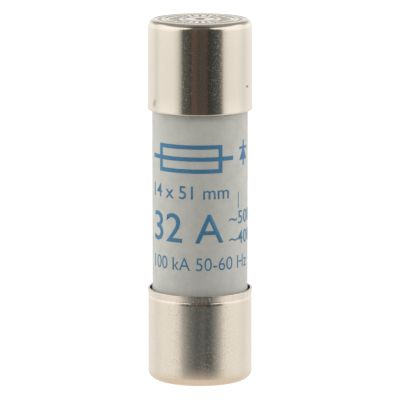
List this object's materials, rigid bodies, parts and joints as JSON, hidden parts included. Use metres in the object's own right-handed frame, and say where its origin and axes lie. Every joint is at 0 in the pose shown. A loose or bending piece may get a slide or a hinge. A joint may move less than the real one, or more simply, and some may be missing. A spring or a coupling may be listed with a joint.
{
  "type": "cartridge fuse",
  "caption": "Cylindrical cartridge fuse with a ceramic tube, plated contact caps at both ends and silver elements in sand.",
  "frame": {"origin": "centre of the lower contact face, which the fuse stands on", "axes": "+Z along the fuse's axis, from the lower cap to the upper cap with the coined face; -Y is the side that the print faces"},
  "size_m": [0.0146, 0.0146, 0.0502],
  "materials": {
    "ceramic": "smooth fired ceramic, satin",
    "plated_cap": "bright nickel plate over drawn copper alloy",
    "inner_cap": "drawn brass, satin",
    "fibre": "pressed fibre board, matt",
    "silver": "rolled silver strip, bright",
    "sand": "packed quartz sand, matt"
  },
  "bodies": {
    "root": {"ceramic_tube": "ceramic", "upper_contact_cap": "plated_cap", "lower_contact_cap": "plated_cap", "upper_inner_cap": "inner_cap", "lower_inner_cap": "inner_cap", "upper_seal_disc": "fibre", "lower_seal_disc": "fibre", "filling_plug": "inner_cap", "front_fuse_element": "silver", "rear_fuse_element": "silver", "quartz_sand": "sand", "upper_spot_welds": "silver", "lower_spot_welds": "silver"}
  },
  "joints": []
}
